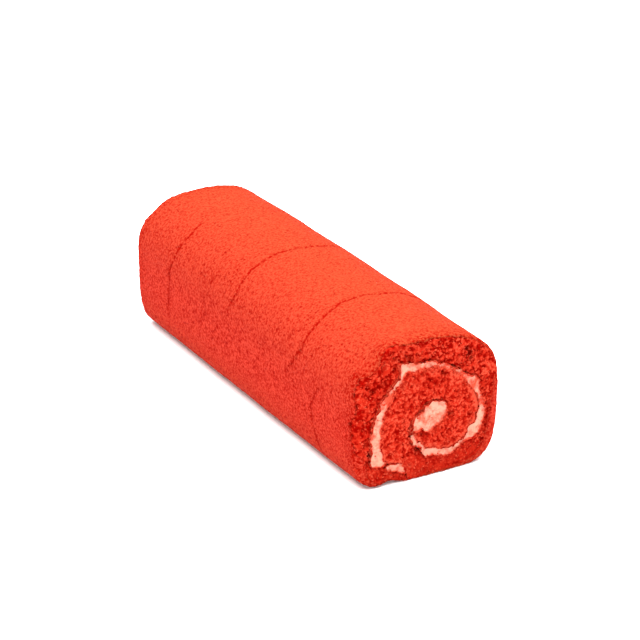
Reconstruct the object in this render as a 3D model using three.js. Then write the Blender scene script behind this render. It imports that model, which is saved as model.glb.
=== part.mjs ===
// A whole swiss roll: one sheet of red sponge spread with pale cream, rolled up and cut square at
// both ends. The log lies along Y on the flat it has settled on, with Z up and the seam underneath.
// Every cross section is the same hand-rolled spiral, described by angles that turn anticlockwise,
// seen from the -Y end, round the lump of cream that the sheet was first folded over.
import * as THREE from "three";

// Driving sizes, in millimetres. The length is the short side of a swiss roll tin.
const LENGTH = 230;
const WIDTH = 80;
const HEIGHT = 72;
const WAIST = 44; // height of the widest place, as the roll has sagged below it
const FLAT_SINK = 0.6; // how far the roll's own weight has pressed its underside flat
const END_SLIMMING = 0.0135; // share by which the ends are slimmer than the middle

// How square the outline is: 2 is an ellipse, and more is boxier.
const TOP_SQUARENESS = 2.3;
const BASE_LEFT_SQUARENESS = 5.8;
const BASE_RIGHT_SQUARENESS = 4.8;

// The lump of cream in the core, as a tilted oval.
const CORE_X = 1;
const CORE_Z = 32;
const CORE_LONG = 9.6;
const CORE_SHORT = 6.7;
const CORE_TILT = 20;
const CORE_SQUARENESS = 2.3;

// Where the lump strays off its even oval: angle, spread and shift outwards.
const CORE_STRAYS = [
  { angle: 143, spread: 38, shift: -2.3 },
  { angle: 236, spread: 9, shift: -1.4 },
  { angle: 345, spread: 12, shift: -0.9 },
  { angle: 267, spread: 14, shift: 0.6 },
];

// The line of cream that leaves the core, as a radius that grows with the turning angle.
const LINE_START = 9.35;
const LINE_OPENED = 23.94;
const LINE_OPENING_ANGLE = 49.3;
const LINE_GROWTH_PER_TURN = 5.14;
const OVAL = 2.01; // the roll is squashed a little oval
const OVAL_ANGLE = 4.6;
const LOBE = 1.79; // and a little three-cornered
const LOBE_ANGLE = -15.5;

// Turning angles, in degrees, at which things happen along the sheet.
const NECK_ANGLE = 207; // the line of cream leaves the core
const TIP = 212; // the tucked-in tip of the sheet
const NECK_END = 236; // the cream has its full thickness
const CORE_OPENS = 530; // the sheet starts to leave the core
const CORE_LEFT = 585; // and lies on the line of cream from here
const CREAM_THINS = 600;
const CREAM_END = 604;
const SEAM_START = 603;
const SEAM_OUT = 612; // the seam reaches the underside
const TAIL = 968; // the outer end of the sheet, thin where it was cut

// Half of the space between two layers of the sheet, which the cream fills.
const CREAM_HALF = 1.3;
const SEAM_HALF = 0.3;
const NECK_HALF = 1.1;
const CLEARANCE = 0.3; // between the cream and the sponge on each side
const TIP_CLEARANCE = 2.5; // the same in front of the sheet's tip, as an angle

// Where the hand-spread cream strays off its even line: angle, spread and shift outwards.
const STRAYS = [
  { angle: 248, spread: 9, shift: -2.0 },
  { angle: 297, spread: 10, shift: 1.8 },
  { angle: 331, spread: 7, shift: 0.8 },
  { angle: 368, spread: 10, shift: -1.3 },
  { angle: 389, spread: 6, shift: 0.8 },
  { angle: 441, spread: 5, shift: -0.6 },
  { angle: 479, spread: 5, shift: 1.9 },
  { angle: 488, spread: 5, shift: -1.0 },
  { angle: 571, spread: 6, shift: 2.0 },
  { angle: 593, spread: 7, shift: -2.2 },
];

// Dollops and thin places in the cream: angle, spread and extra half thickness.
const SWELLS = [
  { angle: 275, spread: 18, shift: 1.0 },
  { angle: 297, spread: 8, shift: 0.5 },
  { angle: 332, spread: 6.5, shift: 2.1 },
  { angle: 353, spread: 9, shift: 0.6 },
  { angle: 385, spread: 9, shift: 1.0 },
  { angle: 425, spread: 12, shift: -0.8 },
  { angle: 450, spread: 7, shift: 0.4 },
  { angle: 470, spread: 5, shift: 1.2 },
  { angle: 479, spread: 5, shift: 1.0 },
  { angle: 496, spread: 7, shift: -0.5 },
  { angle: 537, spread: 8, shift: 0.6 },
  { angle: 552, spread: 7, shift: 0.8 },
  { angle: 569, spread: 7, shift: 1.6 },
  { angle: 583, spread: 4, shift: 0.6 },
];

// The cut ends: a crown over the core, a worn rim, and crags of crumb.
const FACE_CROWN = 0.9;
const RIM_WEAR = 0.7;
const RIM_LENGTH = 3;
const CRAG_DEPTH = 1.1;
const CRAG_SPACING = 2.6;
const CREAM_SUNK = 0.5;

// The skin wanders by this much, in slow waves along and round the log.
const SKIN_WAVE = 0.2;

// How finely the solids are faceted. Whole steps fit into a turn, so that layers meet row by row.
const SHEET_STEP = 4;
const CORE_STEP = 10;
const SPONGE_COLUMNS = 5;
const CREAM_COLUMNS = 2;
const SPANS = 7;
const HALVINGS = 40;
const SEED = 7;

const rad = THREE.MathUtils.degToRad;
const mix = THREE.MathUtils.lerp;
const smooth = THREE.MathUtils.smoothstep;

// Random numbers from 0 to 1 that are the same each time.
function seeded(seed) {
  let state = seed;
  return () => {
    state = (Math.imul(state, 1664525) + 1013904223) >>> 0;
    return state / 4294967296;
  };
}

// Crags over a cut end: random heights from 0 to 1 on a square grid, joined smoothly.
function cragField(random) {
  const cells = Math.ceil(WIDTH / CRAG_SPACING) + 2;
  const heights = Array.from({ length: (cells + 1) * (cells + 1) }, random);
  const share = (value) => smooth(value - Math.floor(value), 0, 1);
  return (point) => {
    const u = point.x / CRAG_SPACING + cells / 2;
    const v = point.z / CRAG_SPACING;
    const corner = Math.floor(v) * (cells + 1) + Math.floor(u);
    const below = mix(heights[corner], heights[corner + 1], share(u));
    const above = mix(heights[corner + cells + 1], heights[corner + cells + 2], share(u));
    return mix(below, above, share(v));
  };
}

// The sum of soft bumps at an angle.
function bumps(angle, places) {
  const height = (spot) => spot.shift * Math.exp(-(((angle - spot.angle) / spot.spread) ** 2));
  return places.reduce((sum, spot) => sum + height(spot), 0);
}

// Distance from the core's middle to the edge of its lump of cream, in one direction.
function coreRadius(angle) {
  const a = rad(angle - CORE_TILT);
  const along = Math.abs(Math.cos(a) / CORE_LONG) ** CORE_SQUARENESS;
  const across = Math.abs(Math.sin(a) / CORE_SHORT) ** CORE_SQUARENESS;
  const strayed = [-360, 0, 360].reduce((sum, turn) => sum + bumps((angle % 360) + turn, CORE_STRAYS), 0);
  return (along + across) ** (-1 / CORE_SQUARENESS) + strayed;
}

// Whether a point of the section lies within the roll's outline and above its flat underside.
function insideOutline(x, z) {
  const base = x < 0 ? BASE_LEFT_SQUARENESS : BASE_RIGHT_SQUARENESS;
  const squareness = z < WAIST ? base : TOP_SQUARENESS;
  const reach = z < WAIST ? WAIST + FLAT_SINK : HEIGHT - WAIST;
  const across = Math.abs((2 * x) / WIDTH) ** squareness;
  const up = Math.abs((z - WAIST) / reach) ** squareness;
  return z > 0 && across + up < 1;
}

// Distance from the core's middle to the roll's skin, found by halving.
function skinRadius(angle) {
  const dx = Math.cos(rad(angle));
  const dz = Math.sin(rad(angle));
  let low = 0;
  let high = WIDTH;
  for (let i = 0; i < HALVINGS; i += 1) {
    const half = (low + high) / 2;
    const inside = insideOutline(CORE_X + half * dx, CORE_Z + half * dz);
    low = inside ? half : low;
    high = inside ? high : half;
  }
  return low;
}

// The middle of the line of cream, and of the bare seam that it runs out in.
function lineRadius(angle) {
  const turned = Math.max(0, angle - NECK_ANGLE);
  const opened = 1 - Math.exp(-((turned / LINE_OPENING_ANGLE) ** 2));
  const even = mix(LINE_START, LINE_OPENED, opened) + (LINE_GROWTH_PER_TURN * turned) / 360;
  const oval = OVAL * Math.cos(2 * rad(angle - OVAL_ANGLE));
  const lobe = LOBE * Math.cos(3 * rad(angle - LOBE_ANGLE));
  const strayed = even + oval + lobe + bumps(angle, STRAYS);
  return mix(strayed, skinRadius(angle), smooth(angle, SEAM_START, SEAM_OUT));
}

function halfSpace(angle) {
  const spread = CREAM_HALF + bumps(angle, SWELLS);
  const necked = mix(NECK_HALF, spread, smooth(angle, TIP, NECK_END));
  return mix(necked, SEAM_HALF, smooth(angle, CREAM_THINS, CREAM_END));
}

// The sheet's two faces at a turning angle, as distances from the core's middle.
function sheetInner(turn) {
  const line = lineRadius(turn - 360) + halfSpace(turn - 360);
  return mix(coreRadius(turn), line, smooth(turn, CORE_OPENS, CORE_LEFT));
}

function sheetOuter(turn) {
  return turn < SEAM_OUT ? lineRadius(turn) - halfSpace(turn) : skinRadius(turn);
}

function place(turn, radius, skin = false) {
  const x = CORE_X + radius * Math.cos(rad(turn));
  const z = CORE_Z + radius * Math.sin(rad(turn));
  return { x, z, skin };
}

// The skin slims towards the ends, wanders in slow waves and is worn back at each cut.
function settleSkin(point, y) {
  if (!point.skin) return point;
  const along = (2 * y) / LENGTH;
  const angle = Math.atan2(point.z - CORE_Z, point.x - CORE_X);
  const wave = Math.sin(2 * angle + 5 * along) * Math.sin(3 * angle - 7 * along);
  const slim = 1 - END_SLIMMING * along ** 2 - (2 * SKIN_WAVE * (1 - wave)) / WIDTH;
  const worn = Math.abs(y) > LENGTH / 2 - RIM_LENGTH ? 1 - (2 * RIM_WEAR) / HEIGHT : 1;
  return { x: point.x * slim * worn, z: mix(HEIGHT / 2, point.z * slim, worn) };
}

// How far a cut end lies behind its foremost point: more towards the rim.
function crownDepth(point) {
  const reach = Math.hypot(point.x - CORE_X, point.z - HEIGHT / 2) / (WIDTH / 2);
  return FACE_CROWN * Math.min(1, reach) ** 3;
}

// A solid along Y whose section is a strip: it runs between a left and a right edge, row by row.
// `settle` moves a point of the section at a station, and `sink` says how deep a cut end lies.
function stripSolid({ left, right, columns, stations, settle, sink }) {
  const position = [];
  const index = [];
  const vertex = (x, y, z) => position.push(x, y, z) / 3 - 1;
  const quad = (a, b, c, d) => index.push(a, b, c, a, c, d);
  const sectionPoint = (row, column) => ({
    x: mix(left[row].x, right[row].x, column / columns),
    z: mix(left[row].z, right[row].z, column / columns),
    skin: column === columns && right[row].skin,
  });
  const endGrid = (y) =>
    left.map((_, row) =>
      Array.from({ length: columns + 1 }, (__, column) => {
        const point = settle(sectionPoint(row, column), y);
        return vertex(point.x, y - Math.sign(y) * sink(point, y), point.z);
      }),
    );

  // The border of the section, as row and column pairs, anticlockwise seen from -Y.
  const last = left.length - 1;
  const border = left.map((_, row) => [row, columns]);
  for (let column = columns - 1; column > 0; column -= 1) border.push([last, column]);
  for (let row = last; row >= 0; row -= 1) border.push([row, 0]);
  for (let column = 1; column < columns; column += 1) border.push([0, column]);
  const ring = (y) =>
    border.map(([row, column]) => {
      const point = settle(sectionPoint(row, column), y);
      return vertex(point.x, y, point.z);
    });

  const front = endGrid(stations[0]);
  const back = endGrid(stations[stations.length - 1]);
  const rings = [
    border.map(([row, column]) => front[row][column]),
    ...stations.slice(1, -1).map(ring),
    border.map(([row, column]) => back[row][column]),
  ];
  for (let row = 0; row < last; row += 1) {
    for (let column = 0; column < columns; column += 1) {
      const corners = [[row, column], [row, column + 1], [row + 1, column + 1], [row + 1, column]];
      quad(...corners.map(([r, c]) => front[r][c]));
      quad(...corners.reverse().map(([r, c]) => back[r][c]));
    }
  }
  for (let station = 0; station + 1 < rings.length; station += 1) {
    border.forEach((_, here) => {
      const next = (here + 1) % border.length;
      const [near, far] = [rings[station], rings[station + 1]];
      quad(near[here], far[here], far[next], near[next]);
    });
  }
  const geometry = new THREE.BufferGeometry();
  geometry.setAttribute("position", new THREE.Float32BufferAttribute(position, 3));
  geometry.setIndex(index);
  geometry.computeVertexNormals();
  return geometry;
}

// The sponge: the whole rolled sheet, from its tucked-in tip to its outer end under the log.
function spongeGeometry() {
  const steps = Math.round((TAIL - TIP) / SHEET_STEP);
  const turns = Array.from({ length: steps + 1 }, (_, i) => mix(TIP, TAIL, i / steps));
  const end = LENGTH / 2;
  const rim = end - RIM_LENGTH;
  const random = seeded(SEED);
  const crags = { near: cragField(random), far: cragField(random) };
  return stripSolid({
    left: turns.map((turn) => place(turn, sheetInner(turn))),
    right: turns.map((turn) => place(turn, sheetOuter(turn), turn >= SEAM_OUT)),
    columns: SPONGE_COLUMNS,
    stations: [-end, ...Array.from({ length: SPANS + 1 }, (_, i) => mix(-rim, rim, i / SPANS)), end],
    settle: settleSkin,
    sink: (point, y) => crownDepth(point) + CRAG_DEPTH * (y < 0 ? crags.near : crags.far)(point),
  });
}

// The cream: the lump in the core, then the line that runs out of it between the sheet's turns.
function creamGeometry() {
  const onInner = (turn) => place(turn, sheetInner(turn) - CLEARANCE);
  const onOuter = (turn) => place(turn, sheetOuter(turn) + CLEARANCE);
  const left = [];
  const right = [];

  // The lump, in chords across the core, down to the tip of the sheet.
  for (let turned = CORE_STEP / 2; turned < 180; turned += CORE_STEP) {
    left.push(onInner(TIP + 180 - turned));
    right.push(onInner(TIP + 180 + turned));
  }

  // The neck, which goes round the tip of the sheet.
  const neck = TIP - TIP_CLEARANCE;
  left.push(onInner(TIP));
  left.push(place(neck, sheetInner(TIP) - CLEARANCE), place(neck, sheetOuter(TIP) + CLEARANCE));
  for (const share of [0.2, 0.5, 0.8]) {
    right.push(onInner(TIP + 360 - ((1 - share) * CORE_STEP) / 2));
  }

  // The line, out to where it ends above the seam.
  const steps = Math.round((CREAM_END - TIP) / SHEET_STEP);
  for (let i = 0; i <= steps; i += 1) {
    const turn = mix(TIP, CREAM_END, i / steps);
    left.push(onOuter(turn));
    right.push(onInner(turn + 360));
  }
  return stripSolid({
    left,
    right,
    columns: CREAM_COLUMNS,
    stations: [-LENGTH / 2, LENGTH / 2],
    settle: (point) => point,
    sink: (point) => crownDepth(point) + CREAM_SUNK,
  });
}

function named(name, geometry, color, roughness) {
  const material = new THREE.MeshStandardMaterial({ color, roughness, metalness: 0 });
  const mesh = new THREE.Mesh(geometry, material);
  mesh.name = name;
  return mesh;
}

// The log stands with the middle of its box's underside at the origin.
const roll = new THREE.Group();
roll.add(named("sponge", spongeGeometry(), "#d93a26", 0.95));
roll.add(named("cream", creamGeometry(), "#f7c9ad", 0.5));
const box = new THREE.Box3().setFromObject(roll);
const centre = box.getCenter(new THREE.Vector3());
roll.position.set(-centre.x, -centre.y, -box.min.z);

export default roll;
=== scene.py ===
"""A whole swiss roll: rolled red sponge with a baked skin, a pale cream filling, and crumbs.

The rolled sheet is described by turning angles in degrees, anticlockwise seen from the -Y end, round
the lump of cream in the core. Sizes are in millimetres until a mesh is made, which is in metres.
"""

import math
import bpy
import numpy as np
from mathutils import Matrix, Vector


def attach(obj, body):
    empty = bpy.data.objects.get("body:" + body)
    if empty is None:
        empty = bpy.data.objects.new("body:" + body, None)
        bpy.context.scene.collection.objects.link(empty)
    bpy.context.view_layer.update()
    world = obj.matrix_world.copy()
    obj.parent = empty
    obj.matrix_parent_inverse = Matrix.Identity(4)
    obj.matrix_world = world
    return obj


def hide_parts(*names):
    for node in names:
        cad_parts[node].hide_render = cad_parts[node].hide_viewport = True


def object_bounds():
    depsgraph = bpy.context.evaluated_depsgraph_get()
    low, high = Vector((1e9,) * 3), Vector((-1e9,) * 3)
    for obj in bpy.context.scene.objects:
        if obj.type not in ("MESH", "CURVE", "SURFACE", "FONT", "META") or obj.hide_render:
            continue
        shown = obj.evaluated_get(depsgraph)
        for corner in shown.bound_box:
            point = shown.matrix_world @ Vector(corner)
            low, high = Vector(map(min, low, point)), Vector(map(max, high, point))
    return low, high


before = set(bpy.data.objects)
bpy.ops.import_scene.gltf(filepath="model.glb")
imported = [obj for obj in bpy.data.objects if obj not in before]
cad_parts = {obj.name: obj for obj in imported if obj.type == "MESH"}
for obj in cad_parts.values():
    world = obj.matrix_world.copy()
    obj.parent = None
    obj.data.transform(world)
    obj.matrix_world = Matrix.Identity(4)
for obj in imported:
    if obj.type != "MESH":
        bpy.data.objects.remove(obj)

CAD_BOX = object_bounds()
CAD_SIZE = CAD_BOX[1] - CAD_BOX[0]

bl_info = {
    "name": "Swiss roll cake",
    "version": (1, 0, 0),
    "blender": (4, 5, 0),
    "location": "3D View > Sidebar > Swiss roll",
    "description": "Makes a whole swiss roll: red sponge with its skin, cream filling and crumbs",
    "category": "Add Mesh",
}

MM = 0.001

# The log's design size, which the solids share.
LENGTH = 230
WIDTH = 80
HEIGHT = 72
WAIST = 44
FLAT_SINK = 0.6
END_SLIMMING = 0.0135
SKIN_WAVE = 0.2
TOP_SQUARENESS = 2.3
BASE_LEFT_SQUARENESS = 5.8
BASE_RIGHT_SQUARENESS = 4.8

# The lump of cream in the core.
CORE_X = 1
CORE_Z = 32
CORE_LONG = 9.5
CORE_SHORT = 6.6
CORE_TILT = 20
CORE_SQUARENESS = 2.3

# Where the lump strays off its even shape: angle, spread and shift outwards. The third is its beak,
# which reaches out to the line of cream.
CORE_STRAYS = (
    (143, 38, -2.7), (234, 11, -2.3), (211, 7, 3.4), (345, 12, -1.0), (267, 14, 0.7), (63, 14, -0.4),
)
CREVICE = 0.4

# The line of cream that runs out of the core.
LINE_START = 9.35
LINE_OPENED = 23.94
LINE_OPENING_ANGLE = 49.3
LINE_GROWTH_PER_TURN = 5.14
OVAL = 2.01
OVAL_ANGLE = 4.6
LOBE = 1.79
LOBE_ANGLE = -15.5

# Turning angles at which things happen along the sheet.
NECK_ANGLE = 207
TIP = 212
NECK_END = 236
CORE_OPENS = 530
CORE_LEFT = 585
CREAM_END = 604
SEAM_START = 603
SEAM_OUT = 612
TAIL = 970

# Half of the space between two layers, where nothing swells or pinches it.
CREAM_HALF = 0.95
SEAM_HALF = 0.08
NECK_HALF = 0.9

# Where the hand-spread cream strays off its even line: angle, spread and shift outwards.
STRAYS = (
    (248, 9, -2.0), (297, 10, 1.8), (331, 7, 0.8), (368, 10, -1.3), (389, 6, 0.2),
    (441, 5, -0.6), (479, 5, 1.9), (488, 5, -1.0), (571, 6, 2.0), (593, 7, -2.2),
)

# Where it swells or pinches: angle, spread and extra half thickness.
SWELLS = (
    (275, 18, 1.0), (297, 8, 0.5), (332, 7, 2.7), (353, 9, 0.9), (385, 10, 1.5), (450, 7, 0.4),
    (461, 5, 0.2), (470, 4, 1.2), (479, 5, 1.2), (496, 7, -0.1), (515, 12, 0.5), (537, 8, 1.3),
    (552, 7, 1.7), (569, 7, 2.8), (579.5, 2, -1.7), (584, 3, 0.6), (592, 6, 0.8),
)

# Where the sheet stands off the cream and leaves a gap behind it: angle, spread and gap.
GAPS = ((251, 4, 1.3), (595, 4, 1.5))

# How far the cream is pressed into the crumb on each side.
CREAM_BITE = 0.45

# The crown of the cut ends over the core, and how far in from a cut the next two shapes reach.
FACE_CROWN = 0.9
END_REACH = 22

# The top left corner swells at the near cut.
CORNER_BULGE = 1.5
CORNER_ANGLE = math.radians(119)
CORNER_SPREAD = math.radians(10)

# The loose outer edge of the sheet, low on the left, curls up at both cuts.
CURL_X = -21
CURL_SPREAD = 5
CURL_HEIGHT = 16

# The skin's thickness, its share that is sunk into the crumb, and how deep its underside lies at the cuts.
SKIN_THICK = 0.6
SKIN_SUNK = 0.7
EDGE_THICK = 1.7

# Spacing of each piece's rows of points round the roll, and the step of angle that they are found with.
CRUMB_SPACING = 0.4
SKIN_SPACING = 0.8
CREAM_SPACING = 0.36
TURN_STEP = 0.25


def smooth(value, low, high):
    """0 up to a low value, 1 from a high value on, and a soft step between them."""
    share = np.clip((value - low) / (high - low), 0, 1)
    return share * share * (3 - 2 * share)


def mix(a, b, share):
    """A value between two values, or arrays of them."""
    return a + (b - a) * share


def bumps(turn, places):
    """The sum of soft bumps, each an angle, a spread and a height."""
    return sum(height * np.exp(-(((turn - angle) / spread) ** 2)) for angle, spread, height in places)


def wander(value, spacing, seed):
    """A smooth random curve from -1 to 1 with a knot every `spacing`, the same each time."""
    place = np.asarray(value, float) / spacing
    low = math.floor(place.min())
    knots = np.random.default_rng(seed).uniform(-1, 1, math.ceil(place.max()) - low + 2)
    index = np.floor(place).astype(int)
    return mix(knots[index - low], knots[index - low + 1], smooth(place - index, 0, 1))


def core_radius(turn):
    """The even outline of the lump of cream: a tilted, squarish oval."""
    a = np.radians(turn - CORE_TILT)
    along = np.abs(np.cos(a) / CORE_LONG) ** CORE_SQUARENESS
    across = np.abs(np.sin(a) / CORE_SHORT) ** CORE_SQUARENESS
    return (along + across) ** (-1 / CORE_SQUARENESS)


def lump_shift(turn):
    """How far the lump of cream strays outwards, the same every full turn."""
    around = np.mod(turn - TIP + 180, 360) + TIP - 180
    return bumps(around, CORE_STRAYS) + bumps(around + 360, CORE_STRAYS) + bumps(around - 360, CORE_STRAYS)


def inside_outline(x, z):
    """Whether a point lies in the roll's outline, which is round above its waist and squarer below."""
    base = np.where(x < 0, BASE_LEFT_SQUARENESS, BASE_RIGHT_SQUARENESS)
    squareness = np.where(z < WAIST, base, TOP_SQUARENESS)
    reach = np.where(z < WAIST, WAIST + FLAT_SINK, HEIGHT - WAIST)
    share = np.abs(2 * x / WIDTH) ** squareness + np.abs((z - WAIST) / reach) ** squareness
    return (z > 0) & (share < 1)


def skin_radius(turn):
    """Distance from the core's middle to the roll's skin, found by halving."""
    dx, dz = np.cos(np.radians(turn)), np.sin(np.radians(turn))
    low, high = np.zeros_like(dx), np.full_like(dx, WIDTH)
    for _ in range(30):
        middle = (low + high) / 2
        inside = inside_outline(CORE_X + middle * dx, CORE_Z + middle * dz)
        low, high = np.where(inside, middle, low), np.where(inside, high, middle)
    return low


def line_radius(turn):
    """The even line that the cream follows, before its strays."""
    turned = np.maximum(0, turn - NECK_ANGLE)
    opened = 1 - np.exp(-((turned / LINE_OPENING_ANGLE) ** 2))
    even = mix(LINE_START, LINE_OPENED, opened) + LINE_GROWTH_PER_TURN * turned / 360
    oval = OVAL * np.cos(2 * np.radians(turn - OVAL_ANGLE))
    lobe = LOBE * np.cos(3 * np.radians(turn - LOBE_ANGLE))
    strayed = even + oval + lobe + bumps(turn, STRAYS)
    return mix(strayed, skin_radius(turn), smooth(turn, SEAM_START, SEAM_OUT))


def half_space(turn):
    """Half of the space between two layers: cream, and the tight seam where it ends."""
    necked = mix(NECK_HALF, CREAM_HALF + bumps(turn, SWELLS), smooth(turn, TIP, NECK_END))
    return mix(necked, SEAM_HALF, smooth(turn, CREAM_END, CREAM_END + 4))


def sheet_inner(turn):
    """The sheet's inner face: against the core at first, then against the cream of the turn within."""
    around = turn - 360
    line = line_radius(around) + half_space(around) + bumps(around, GAPS)
    core = core_radius(turn) + (1 - CREVICE) * np.minimum(0, lump_shift(turn))
    return mix(core, line, smooth(turn, CORE_OPENS, CORE_LEFT))


def sheet_outer(turn):
    """The sheet's outer face: against the next turn's cream, then the roll's skin."""
    return np.where(turn < SEAM_OUT, line_radius(turn) - half_space(turn), skin_radius(turn))


def sheet_middle(turn):
    """Halfway through the sheet, the path that its rows of points are spaced on."""
    return (sheet_inner(turn) + sheet_outer(turn)) / 2


def place(turn, radius):
    """Where a turning angle and a distance from the core's middle lie on a cut."""
    a = np.radians(turn)
    return CORE_X + radius * np.cos(a), CORE_Z + radius * np.sin(a)


def distance_along(turn, radius):
    """How far each point of a path, given as angles and radii, is from the start of the path."""
    x, z = place(turn, radius)
    return np.concatenate([[0], np.cumsum(np.hypot(np.diff(x), np.diff(z)))])


def evenly(start, end, radius_at, spacing):
    """Turning angles spaced evenly along a path, which has a radius for each angle from start to end."""
    turn = np.arange(start, end + TURN_STEP, TURN_STEP)
    along = distance_along(turn, radius_at(turn))
    count = int(along[-1] / spacing)
    return np.interp(np.linspace(0, along[-1], count + 1), along, turn)


def settle(x, y, z, lift=0):
    """Points of the finished log. It slims towards its ends, wanders a little, swells and curls up."""
    along = 2 * y / LENGTH
    angle = np.arctan2(z - CORE_Z, x - CORE_X)
    wave = np.sin(2 * angle + 5 * along) * np.sin(3 * angle - 7 * along)
    slim = 1 - END_SLIMMING * along**2 - 2 * SKIN_WAVE * (1 - wave) / WIDTH
    near_end = np.exp(-(((LENGTH / 2 - np.abs(y)) / END_REACH) ** 2))
    low = np.clip(1 - z / CURL_HEIGHT, 0, 1)
    curl = lift * near_end * np.exp(-(((x - CURL_X) / CURL_SPREAD) ** 2)) * low
    at_corner = (y < 0) * np.exp(-(((angle - CORNER_ANGLE) / CORNER_SPREAD) ** 2))
    swollen = slim * (1 + near_end * at_corner * CORNER_BULGE / WIDTH * 2)
    return np.stack([x * swollen, y, z * swollen + curl], -1)


def crown_depth(x, z):
    """How far a cut face lies back from its middle."""
    reach = np.hypot(x - CORE_X, z - HEIGHT / 2) / (WIDTH / 2)
    return FACE_CROWN * np.minimum(1, reach) ** 3


def linear(hex_colour):
    """An sRGB hex colour as the linear colour that Blender reads."""
    parts = [int(hex_colour[i : i + 2], 16) / 255 for i in (1, 3, 5)]
    return tuple(p / 12.92 if p <= 0.04045 else ((p + 0.055) / 1.055) ** 2.4 for p in parts) + (1.0,)


class SwissRollSizes(bpy.types.PropertyGroup):
    """The log's sizes and those of its relief"""

    length: bpy.props.FloatProperty(
        name="Length", description="Length of the log", default=CAD_SIZE.y, unit="LENGTH"
    )
    width: bpy.props.FloatProperty(
        name="Width", description="Width of the log", default=CAD_SIZE.x, unit="LENGTH"
    )
    height: bpy.props.FloatProperty(
        name="Height", description="Height of the log", default=CAD_SIZE.z, unit="LENGTH"
    )
    pore_size: bpy.props.FloatProperty(
        name="Pore size", description="Spacing of the small pores", default=2.3 * MM, unit="LENGTH"
    )
    pore_depth: bpy.props.FloatProperty(
        name="Pore depth", description="Depth of the small pores", default=0.7 * MM, unit="LENGTH"
    )
    cave_size: bpy.props.FloatProperty(
        name="Cave size", description="Spacing of the large pores", default=4.2 * MM, unit="LENGTH"
    )
    cave_depth: bpy.props.FloatProperty(
        name="Cave depth", description="Depth of the large pores", default=1.3 * MM, unit="LENGTH"
    )
    crag_size: bpy.props.FloatProperty(
        name="Crag size", description="Spacing of the crags", default=6 * MM, unit="LENGTH"
    )
    crag_depth: bpy.props.FloatProperty(
        name="Crag depth", description="Depth of the crags", default=1.2 * MM, unit="LENGTH"
    )
    crumb_size: bpy.props.FloatProperty(
        name="Crumb size", description="Size of a typical crumb", default=0.95 * MM, unit="LENGTH"
    )
    crease_depth: bpy.props.FloatProperty(
        name="Crease depth", description="Depth of the skin's creases", default=0.45 * MM, unit="LENGTH"
    )
    tail_curl: bpy.props.FloatProperty(
        name="Tail curl", description="How far the outer edge curls up at the cuts",
        default=2.2 * MM, unit="LENGTH",
    )


RGBA = {"size": 4, "min": 0, "max": 1}


class SwissRollColours(bpy.types.PropertyGroup):
    """Colours of the sponge, the cream and the floor"""

    skin: bpy.props.FloatVectorProperty(
        name="Skin", description="Baked skin of the sponge",
        default=linear("#ae3224"), subtype="COLOR", **RGBA,
    )
    # Painted light: this more orange colour on top stands in for the warm overhead light that falls there.
    skin_lit_top: bpy.props.FloatVectorProperty(
        name="Skin, top", description="Baked skin on top, which is more orange",
        default=linear("#88391d"), subtype="COLOR", **RGBA,
    )
    # Painted shade in the skin's pits and creases, and also the skin's own darker mottle where it is torn.
    skin_dark: bpy.props.FloatVectorProperty(
        name="Skin, dark", description="Pits and creases in the skin",
        default=linear("#840800"), subtype="COLOR", **RGBA,
    )
    # Partly painted highlight: a lighter crumb colour, also on loose crumbs, for the light on its crests as
    # well as its own lighter bits.
    crest_and_highlight: bpy.props.FloatVectorProperty(
        name="Crest", description="Crests and loose bits of the crumb",
        default=linear("#bc422e"), subtype="COLOR", **RGBA,
    )
    crumb: bpy.props.FloatVectorProperty(
        name="Crumb", description="Torn crumb of the sponge",
        default=linear("#a02112"), subtype="COLOR", **RGBA,
    )
    # Painted shade: the dark colour that the crumb's pores and shaded zones are painted with.
    pore_shade: bpy.props.FloatVectorProperty(
        name="Pore", description="Inside of the crumb's pores",
        default=linear("#7f0401"), subtype="COLOR", **RGBA,
    )
    cream: bpy.props.FloatVectorProperty(
        name="Cream", description="Clean cream", default=linear("#c88771"), subtype="COLOR", **RGBA
    )
    # Also painted shade: the same dark red darkens the cream along its edges, where it meets the crumb.
    smear_and_edge_shade: bpy.props.FloatVectorProperty(
        name="Smear", description="Cream stained by the sponge",
        default=linear("#b6391e"), subtype="COLOR", **RGBA,
    )
    floor: bpy.props.FloatVectorProperty(
        name="Floor", description="The pale floor", default=linear("#fafafa"), subtype="COLOR", **RGBA
    )


def add_node(tree, kind, inputs=None, **settings):
    """Adds a node with its options and its inputs: values, sockets, or nodes for their first live output."""
    node = tree.nodes.new(kind)
    for name, value in settings.items():
        setattr(node, name, value)
    for name, value in (inputs or {}).items():
        if isinstance(value, bpy.types.Node):
            value = next(output for output in value.outputs if output.enabled)
        if isinstance(value, bpy.types.NodeSocket):
            tree.links.new(value, node.inputs[name])
        else:
            node.inputs[name].default_value = value
    return node


def new_material(name):
    """An empty material, its tree and its object coordinates."""
    material = bpy.data.materials.new(name)
    material.use_nodes = True
    tree = material.node_tree
    tree.nodes.clear()
    return material, tree, add_node(tree, "ShaderNodeTexCoord").outputs["Object"]


def end_material(tree, inputs):
    """Ends a material's tree with its shader, whose inputs are given."""
    shader = add_node(tree, "ShaderNodeBsdfPrincipled", inputs)
    add_node(tree, "ShaderNodeOutputMaterial", {"Surface": shader})


def noise_between(tree, position, size, low, high, detail=2.0):
    """Noise with features of a size in metres, spread between two values."""
    noise = add_node(
        tree, "ShaderNodeTexNoise",
        {"Vector": position, "Scale": 1 / size, "Detail": detail, "Roughness": 0.65},
    )
    return add_node(
        tree, "ShaderNodeMapRange",
        {"Value": noise, "From Min": 0.36, "From Max": 0.64, "To Min": low, "To Max": high},
    )


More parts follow.
